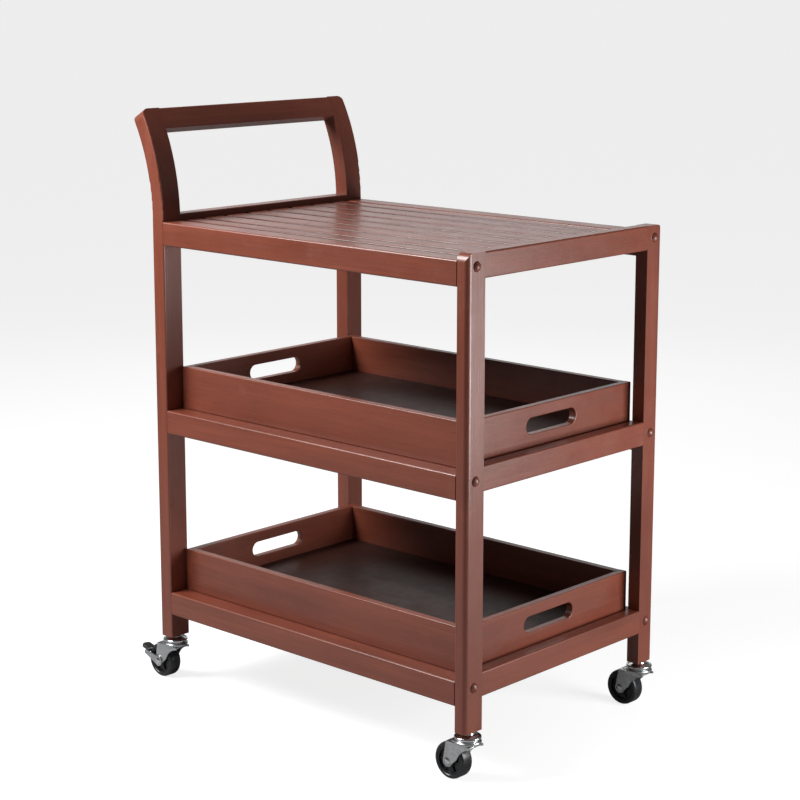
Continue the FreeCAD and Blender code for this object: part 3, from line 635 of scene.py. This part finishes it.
def slab_into(mesh: bmesh.types.BMesh, low: Vector, high: Vector, place: Matrix, edge: float,
              round_tip: float = 0.0) -> None:
    """Add a soft-edged box, with round upright edges at its low-X end if asked.

    Args:
        mesh: The bmesh that receives the shape.
        low: Lowest corner, in millimetres.
        high: Highest corner.
        place: Where the slab's origin goes.
        edge: Edge rounding.
        round_tip: Radius of the two upright edges at the low-X end.
    """
    fresh = bmesh.new()
    bmesh.ops.create_cube(fresh, size=1.0)
    bmesh.ops.scale(fresh, vec=(high - low) * MM, verts=fresh.verts)
    bmesh.ops.translate(fresh, vec=(high + low) / 2 * MM, verts=fresh.verts)
    if round_tip:
        tips = [item for item in fresh.edges
                if all(abs(vert.co.x - low.x * MM) < WELD for vert in item.verts)
                and abs(item.verts[0].co.z - item.verts[1].co.z) > WELD]
        round_off(fresh, tips, round_tip, TIP_STEPS)
    round_off(fresh, list(fresh.edges), edge, EDGE_STEPS)
    bmesh.ops.recalc_face_normals(fresh, faces=fresh.faces)
    fresh.transform(place)
    merge_into(mesh, fresh)


def dress(node: str, material: bpy.types.Material) -> None:
    """Give a carried-over piece its finish.

    Args:
        node: The piece's name in the CAD model.
        material: Its finish.
    """
    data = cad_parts[node].data
    data.materials.clear()
    data.materials.append(material)
    log.info("dressed %s", node)


# ------------------------------------------------------------- sub-assemblies


@dataclass
class WoodenFrame:
    """Posts, rails, push bar, slatted top, shelves and stemware rack."""

    # axis, pitch and start of the boards that each get their own tone, in metres
    slat_boards: tuple[int, float, float] = (1, 0.04575, 0.0)
    strip_boards: tuple[int, float, float] = (1, 0.104, 0.0)
    shelf_boards: tuple[int, float, float] = (0, 0.12, 0.09)
    plug_light: Colour = (0.190, 0.047, 0.027)
    plug_dark: Colour = (0.110, 0.026, 0.015)
    plug_sheen: Point = (0.30, 0.40)
    plug_coat: float = 0.15
    plug_seed: float = 90.0
    sides: tuple[str, str] = ("near", "far")
    ends: tuple[str, str] = ("plain", "handle")
    levels: tuple[str, str, str] = ("low", "mid", "top")
    count: int = field(default=0, init=False)

    def wood(self, node: str, grain: Grain, board: tuple[int, float, float] | None = None,
             painted_gap_shade: bool = False) -> None:
        """Dress one node in stained wood of its own figure.

        Args:
            node: The node's name.
            grain: Which way its grain runs.
            board: Axis, pitch and start of the boards that each get a tone.
            painted_gap_shade: Whether its upright faces get painted shade, as in the gaps between
                slats.
        """
        self.count += 1
        finish = StainedWood(f"wood_{node}", grain, seed=float(self.count), board=board,
                             painted_gap_shade=painted_gap_shade)
        dress(node, finish.build())

    def build(self) -> None:
        """Dress every fixed wooden piece."""
        for side in self.sides:
            for end in self.ends:
                self.wood(f"post_{end}_{side}", Grain.ALONG_Z)
            for level in self.levels:
                self.wood(f"side_rail_{side}_{level}", Grain.ALONG_X)
        for end in self.ends:
            for level in self.levels:
                self.wood(f"end_rail_{end}_{level}", Grain.ALONG_Y)
        self.wood("handle_bar", Grain.ALONG_Y)
        # the slats' upright faces, in the gaps between them, get painted shade
        self.wood("top_slats", Grain.ALONG_X, self.slat_boards, painted_gap_shade=True)
        self.wood("top_battens", Grain.ALONG_Y)
        self.wood("stem_rack_webs", Grain.ALONG_X)
        self.wood("stem_rack_strips", Grain.ALONG_X, self.strip_boards)
        for level in self.levels[:2]:
            self.wood(f"shelf_slats_{level}", Grain.ALONG_Y, self.shelf_boards)
        self.wood("shelf_cleats", Grain.ALONG_X)
        plugs = StainedWood("wood_dome_plugs", Grain.ALONG_Y, light=self.plug_light,
                            dark=self.plug_dark, seed=self.plug_seed, sheen=self.plug_sheen,
                            coat=self.plug_coat)
        dress("dome_plugs", plugs.build())


@dataclass
class Tray:
    """A lift-out tray: four boards and a darker, duller floor panel."""

    level: str
    seed: float
    panel_light: Colour = (0.052, 0.018, 0.012)
    panel_dark: Colour = (0.028, 0.010, 0.007)
    panel_sheen: Point = (0.34, 0.46)
    panel_gloss: float = 0.18

    def build(self) -> None:
        """Dress the tray's boards and panel."""
        boards = (("side_near", Grain.ALONG_X), ("side_far", Grain.ALONG_X),
                  ("end_plain", Grain.ALONG_Y), ("end_handle", Grain.ALONG_Y))
        for number, (board, grain) in enumerate(boards):
            name = f"tray_{self.level}_{board}"
            dress(name, StainedWood(f"wood_{name}", grain, seed=self.seed + number).build())
        name = f"tray_{self.level}_panel"
        panel = StainedWood(f"wood_{name}", Grain.ALONG_X, light=self.panel_light,
                            dark=self.panel_dark, seed=self.seed + len(boards),
                            sheen=self.panel_sheen, coat=0.0, gloss=self.panel_gloss)
        dress(name, panel.build())


@dataclass
class Finishes:
    """The finishes that the casters and fasteners share."""

    zinc: bpy.types.Material = field(init=False)
    bright: bpy.types.Material = field(init=False)
    wheel: bpy.types.Material = field(init=False)
    pedal: bpy.types.Material = field(init=False)
    beech: bpy.types.Material = field(init=False)

    def __post_init__(self) -> None:
        """Build each finish once."""
        self.zinc = PlatedSteel("zinc_steel").build()
        self.bright = PlatedSteel("bright_zinc", bright=(0.80, 0.81, 0.82),
                                  dull=(0.55, 0.56, 0.57), roughness=(0.08, 0.22),
                                  scratch=0.00002).build()
        self.wheel = MouldedPlastic("black_wheel", base=(0.008, 0.009, 0.011),
                                    scuffed=(0.035, 0.036, 0.038), roughness=(0.24, 0.46),
                                    texture=0.00003).build()
        self.pedal = MouldedPlastic("pedal_plastic", base=(0.035, 0.035, 0.034),
                                    scuffed=(0.10, 0.10, 0.095), roughness=(0.45, 0.65),
                                    texture=0.00010).build()
        self.beech = RawBeech().build()


@dataclass
class Caster:
    """A swivel caster: turned race and axle, pressed fork, moulded wheel, foot brake.

    Sizes are in millimetres and degrees. A pair is an inner and an outer, or a low and a high.
    """

    end: str
    side: str
    finishes: Finishes
    ring: float = 19.0
    trail: float = 25.0
    # heights above the floor
    stem_low: float = 50.5
    stem_high: float = 109.8
    head: Point = (55.0, 62.0)
    race_high: float = 71.0
    # radii of the kingpin's bore and of the stem
    kingpin: float = 3.1
    stem: float = 4.0
    cheek: Point = (11.5, 13.5)
    cheek_eye: float = 7.8
    boss: float = 5.8
    boss_proud: float = 0.7
    crown: float = 9.0
    # wheel
    wheel: float = 26.0
    half_wide: float = 10.5
    tread_round: float = 4.2
    bore: float = 3.05
    rib_count: int = 6
    rib_run: Point = (8.8, 17.2)
    rib_half: float = 0.9
    rib_root: float = 5.4
    # brake, measured from the axle before the tilt
    tilt: float = 14.0
    arm: Point = (13.85, 15.35)
    arm_eye: float = 8.2
    arm_height: Point = (-1.6, 3.8)
    arm_reach: Point = (-31.8, -30.0)
    pad_reach: Point = (-50.0, -32.2)
    pad_height: Point = (-1.4, 3.4)
    pad_half: float = 7.5
    pad_round: float = 5.5
    ridge_count: int = 5
    ridge_start: float = -46.6
    ridge_pitch: float = 2.9
    ridge_wide: float = 1.5
    ridge_height: Point = (3.0, 4.4)
    ridge_half: float = 5.8

    def __post_init__(self) -> None:
        """Find the swivel axis and the wheel's centre from the frame."""
        self.tag = f"{self.end}_{self.side}"
        low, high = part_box(f"caster_stem_{self.tag}")
        self.pivot = Vector(((low[0] + high[0]) / 2, (low[1] + high[1]) / 2, 0.0))
        low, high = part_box(f"caster_wheel_{self.tag}")
        self.hub = (Vector(low) + Vector(high)) / 2
        self.braked = f"brake_lever_{self.tag}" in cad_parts

    def settle(self, piece: bpy.types.Object, body: str, node: str) -> None:
        """Make a new piece stand for a node and ride on its body.

        Args:
            piece: The new piece.
            body: The body's name without the caster's tag, or root.
            node: The node's name without the caster's tag.
        """
        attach(piece, f"{body}_{self.tag}" if body != "root" else "root")
        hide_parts(f"{node}_{self.tag}")
        log.info("made %s", piece.name)

    def bead(self, low: float, high: float, radius: float) -> list[Point]:
        """A half-round bulge of a ring's rim.

        Args:
            low: Its lowest height.
            high: Its highest height.
            radius: How far out it reaches.

        Returns:
            Points of (radius, height).
        """
        half = (high - low) / 2
        return arc((radius - half, (low + high) / 2), half, -90.0, 90.0, 9)

    def upright(self) -> Matrix:
        """The wheel's place, with the turned axis laid along Y."""
        return Matrix.Translation(self.hub) @ Matrix.Rotation(-math.pi / 2, 4, "X")

    def tilted(self) -> Matrix:
        """The brake's place, tilted about the axle."""
        return Matrix.Translation(self.hub) @ Matrix.Rotation(math.radians(self.tilt), 4, "Y")

    def race(self) -> None:
        """The stem, the fixed upper race with its rolled rim, and the riveted kingpin."""
        low, high, stem = self.stem_low, self.stem_high, self.stem
        plate = self.head[1] + 0.3
        profile = [(0.0, low), (4.4, low), (5.0, low + 0.6), (5.0, low + 1.4), (3.0, low + 2.2),
                   (3.0, plate), (15.0, plate)]
        profile += self.bead(plate, plate + 4.4, self.ring - 0.3)
        profile += [(15.6, plate + 4.1), (14.8, plate + 4.6), (10.6, plate + 5.6),
                    (9.4, plate + 6.4), (9.0, self.race_high - 0.4), (8.6, self.race_high)]
        profile += [(stem, self.race_high), (stem, high - 1.2), (stem - 0.8, high), (0.0, high)]
        mesh = bmesh.new()
        turn_into(mesh, profile, Matrix.Translation(self.pivot))
        piece = finished(f"caster_race_{self.tag}", mesh, self.finishes.bright)
        self.settle(piece, "root", "caster_stem")

    def cheek_outline(self) -> list[Point]:
        """The outline of a fork cheek: wide under the head, round at the axle.

        Returns:
            Points of (x, z) from the swivel axis.
        """
        low = self.head[0]
        outline = [(-27.0, low), (-28.0, low - 1.0), (-29.2, low - 9.0)]
        outline += arc((-self.trail, self.wheel), self.cheek_eye, 172.0, 338.0, 22)
        outline += arc((20.0, 22.0), 30.0, 160.0, 96.0, 14)
        outline += [(self.ring - 2.4, low - 2.4), (self.ring - 2.4, low)]
        return outline

    def web_into(self, mesh: bmesh.types.BMesh, place: Matrix) -> None:
        """Add the plate that joins the cheeks under the head, with its raised dome.

        Args:
            mesh: The fork's bmesh.
            place: The fork's place.
        """
        low, outer = self.head[0], self.cheek[1]
        flat, domed = outer - 0.1, outer - 3.5
        slab_into(mesh, Vector((-27.4, -flat, low - 2.0)), Vector((15.0, flat, low + 0.4)),
                  place, 0.6)
        slab_into(mesh, Vector((-24.0, -domed, low - 0.2)), Vector((12.0, domed, low + 1.6)),
                  place, 0.8, round_tip=5.0)

    def fork(self) -> None:
        """Two pressed cheeks, the domed web between them, and the rolled lower ring."""
        mesh = bmesh.new()
        place = Matrix.Translation(self.pivot)
        inner, outer = self.cheek
        for low, high in ((-outer, -inner), (inner, outer)):
            plate_into(mesh, self.cheek_outline(), low, high, place, 0.5)
            boss = arc((-self.trail, self.wheel), self.boss, 0.0, 345.0, 24)
            face = (low, low + self.boss_proud) if low < 0 else (high - self.boss_proud, high)
            plate_into(mesh, boss, *face, place, 0.2)
        self.web_into(mesh, place)
        low, high = self.head
        head = [(self.kingpin, low), (15.5, low)]
        head += self.bead(low + 0.8, high - 1.6, self.ring)
        head += [(16.2, high - 1.0), (15.0, high), (self.kingpin, high), (self.kingpin, low)]
        turn_into(mesh, head, place)
        piece = finished(f"caster_fork_pressed_{self.tag}", mesh, self.finishes.zinc)
        self.settle(piece, "fork", "caster_fork")

    def axle(self) -> None:
        """The axle rivet with its two domed heads."""
        low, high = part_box(f"caster_axle_{self.tag}")
        half = (high[1] - low[1]) / 2 / MM
        crown = arc((0.0, half - self.crown), self.crown, 90.0, 57.0, 7)
        profile = [(0.0, half)] + crown[1:] + [(5.0, half - 1.5), (3.0, half - 1.5)]
        profile += [(radius, -height) for radius, height in reversed(profile)]
        mesh = bmesh.new()
        turn_into(mesh, profile, self.upright(), 40)
        piece = finished(f"caster_rivet_{self.tag}", mesh, self.finishes.bright)
        self.settle(piece, "fork", "caster_axle")

    def wheel_half(self) -> list[Point]:
        """Half of the wheel's section, from the tread's middle to the bore.

        Returns:
            Points of (radius, distance along the axle).
        """
        wide, curve = self.half_wide, self.tread_round
        half = [(self.wheel, 0.0), (self.wheel, wide - curve)]
        half += arc((self.wheel - curve, wide - curve), curve, 0.0, 80.0, 9)
        half += [(20.6, wide - 0.1), (19.8, wide - 0.9), (19.0, wide - 0.9), (18.4, wide - 0.2),
                 (17.6, wide - 0.2), (16.8, wide - 3.6), (9.4, wide - 4.0), (8.6, wide - 0.6),
                 (7.6, wide), (4.0, wide), (self.bore, wide - 0.6), (self.bore, 0.0)]
        return half

    def tyre(self) -> None:
        """The moulded wheel: rounded tread, lipped rim, ribbed web and hub."""
        half = self.wheel_half()
        mirrored = [(radius, -height) for radius, height in reversed(half)]
        mesh = bmesh.new()
        turn_into(mesh, half + mirrored[1:-1] + [half[0]], self.upright(), 72)
        root, top = self.rib_root, self.half_wide - 1.6
        for number in range(self.rib_count):
            turn = Matrix.Rotation(math.tau * number / self.rib_count, 4, "Z")
            for low, high in ((-top, -root), (root, top)):
                slab_into(mesh, Vector((self.rib_run[0], -self.rib_half, low)),
                          Vector((self.rib_run[1], self.rib_half, high)),
                          self.upright() @ turn, 0.3)
        piece = finished(f"caster_tyre_{self.tag}", mesh, self.finishes.wheel)
        self.settle(piece, "wheel", "caster_wheel")

    def lever(self) -> None:
        """The brake's stirrup: two tapering arms from the axle, joined behind the wheel."""
        (inner, outer), (low, high), (back, front) = self.arm, self.arm_height, self.arm_reach
        outline = arc((0.0, 0.0), self.arm_eye, -125.0, 125.0, 28) + [(back, high), (back, low)]
        half = outer - 0.15
        mesh = bmesh.new()
        for start, end in ((-outer, -inner), (inner, outer)):
            plate_into(mesh, outline, start, end, self.tilted(), 0.4)
        slab_into(mesh, Vector((back, -half, low)), Vector((front, half, high)), self.tilted(), 0.4)
        piece = finished(f"brake_stirrup_{self.tag}", mesh, self.finishes.zinc)
        self.settle(piece, "brake", "brake_lever")

    def pedal(self) -> None:
        """The ribbed foot pad of the brake."""
        (back, front), (low, high) = self.pad_reach, self.pad_height
        mesh = bmesh.new()
        slab_into(mesh, Vector((back, -self.pad_half, low)), Vector((front, self.pad_half, high)),
                  self.tilted(), 0.8, self.pad_round)
        low, high = self.ridge_height
        for number in range(self.ridge_count):
            back = self.ridge_start + self.ridge_pitch * number
            slab_into(mesh, Vector((back, -self.ridge_half, low)),
                      Vector((back + self.ridge_wide, self.ridge_half, high)), self.tilted(), 0.35)
        piece = finished(f"brake_pad_{self.tag}", mesh, self.finishes.pedal)
        self.settle(piece, "brake", "brake_pedal")

    def build(self) -> None:
        """Make every piece of the caster."""
        self.race()
        self.fork()
        self.axle()
        self.tyre()
        if self.braked:
            self.lever()
            self.pedal()


@dataclass
class Fasteners:
    """Bolts, barrel nuts, dowels and the caster sleeves."""

    finishes: Finishes

    def build(self) -> None:
        """Dress the fasteners."""
        for node in ("bolts", "barrel_nuts", "caster_sleeves"):
            dress(node, self.finishes.zinc)
        dress("dowels", self.finishes.beech)


@dataclass(frozen=True)
class Lamp:
    """One square soft light, placed and aimed from the middle of the cart."""

    name: str
    offset: Triple
    aim: Triple
    size: float
    power: float


@dataclass
class Studio:
    """A pale floor, soft lights and the camera."""

    pitch: float = 11.0
    turn: float = 42.82
    lens: float = 91.15
    sensor: float = 36.0
    drop: float = -0.05
    eye: Triple = (2.0040, -2.1392, 1.0777)
    sight: float = 100.0
    floor_size: float = 60.0
    floor_tones: tuple[Colour, Colour] = ((0.36, 0.36, 0.36), (0.39, 0.39, 0.39))
    floor_glow: float = 0.80
    ambient: float = 0.12
    surround_glow: float = 0.845
    white: tuple[float, float, float, float] = (1.0, 1.0, 1.0, 1.0)
    lamps: tuple[Lamp, ...] = (
        Lamp("left", (-0.75, -1.15, 1.25), (0.0, 0.0, 0.2), 0.9, 56.0),
        Lamp("right", (1.25, 0.35, 0.0), (0.0, 0.0, 0.05), 0.5, 13.0),
        Lamp("back", (-1.7, 1.9, 1.2), (0.0, 0.0, 0.2), 1.6, 6.5))

    def seen(self, tree: bpy.types.NodeTree, unseen: float, seen: float) -> bpy.types.NodeSocket:
        """Give the stage one strength as seen, and another as a light on the cart.

        Args:
            tree: The stage's node tree.
            unseen: Strength as a light.
            seen: Strength as it looks to the camera.

        Returns:
            The strength socket.
        """
        path = tree.nodes.new("ShaderNodeLightPath")
        level = tree.nodes.new("ShaderNodeMapRange")
        level.inputs["To Min"].default_value = unseen
        level.inputs["To Max"].default_value = seen
        tree.links.new(path.outputs["Is Camera Ray"], level.inputs["Value"])
        return level.outputs["Result"]

    def floor(self) -> None:
        """A large pale floor."""
        mesh = bmesh.new()
        bmesh.ops.create_grid(mesh, x_segments=2, y_segments=2, size=self.floor_size)
        graph = Graph("studio_floor")
        mottle = graph.noise(graph.mapped(even(3.0), (0, 0, 0)), detail=2.0)
        graph.feed("Base Color", graph.blend(mottle, *self.floor_tones))
        graph.fix(Roughness=0.75, Specular_IOR_Level=0.2)
        graph.shader.inputs["Emission Color"].default_value = self.white
        graph.feed("Emission Strength", self.seen(graph.tree, 0.0, self.floor_glow))
        finished("studio_floor", mesh, graph.material)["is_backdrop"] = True

    def light(self, lamp: Lamp, middle: Vector) -> None:
        """Set up one light.

        Args:
            lamp: The light.
            middle: The middle of the cart.
        """
        data = bpy.data.lights.new(lamp.name, "AREA")
        data.energy = lamp.power
        data.size = lamp.size
        place = middle + Vector(lamp.offset)
        target = middle + Vector(lamp.aim)
        holder = bpy.data.objects.new(lamp.name, data)
        holder.location = place
        holder.rotation_mode = "QUATERNION"
        holder.rotation_quaternion = (target - place).to_track_quat("-Z", "Y")
        holder.visible_camera = False
        bpy.context.scene.collection.objects.link(holder)

    def backdrop(self) -> None:
        """A pale surround that looks brighter than the light it gives."""
        world = bpy.data.worlds.new("studio")
        world.use_nodes = True
        tree = world.node_tree
        glow = tree.nodes["Background"]
        glow.inputs["Color"].default_value = self.white
        tree.links.new(self.seen(tree, self.ambient, self.surround_glow), glow.inputs["Strength"])
        bpy.context.scene.world = world

    def camera(self) -> None:
        """The camera, tilted down with a small shift."""
        data = bpy.data.cameras.new("camera")
        data.lens = self.lens
        data.sensor_width = self.sensor
        data.shift_y = self.drop
        data.clip_end = self.sight
        camera = bpy.data.objects.new("camera", data)
        camera.location = self.eye
        camera.rotation_euler = (math.radians(90.0 - self.pitch), 0.0, math.radians(self.turn))
        bpy.context.scene.collection.objects.link(camera)
        bpy.context.scene.camera = camera

    def build(self) -> None:
        """Set up floor, lights, backdrop and camera."""
        self.floor()
        low, high = (Vector(corner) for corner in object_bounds())
        for lamp in self.lamps:
            self.light(lamp, (low + high) / 2)
        self.backdrop()
        bpy.context.scene.view_settings.view_transform = "Standard"
        self.camera()


def main(tray_levels: Iterable[str] = ("low", "mid")) -> None:
    """Build the looks in order.

    Args:
        tray_levels: The trays, from the lowest.
    """
    WoodenFrame().build()
    for number, level in enumerate(tray_levels):
        Tray(level, seed=50.0 + 10.0 * number).build()
    finishes = Finishes()
    for end in ("handle", "plain"):
        for side in ("near", "far"):
            Caster(end, side, finishes).build()
    Fasteners(finishes).build()
    Studio().build()


if __name__ == "__main__":
    main()
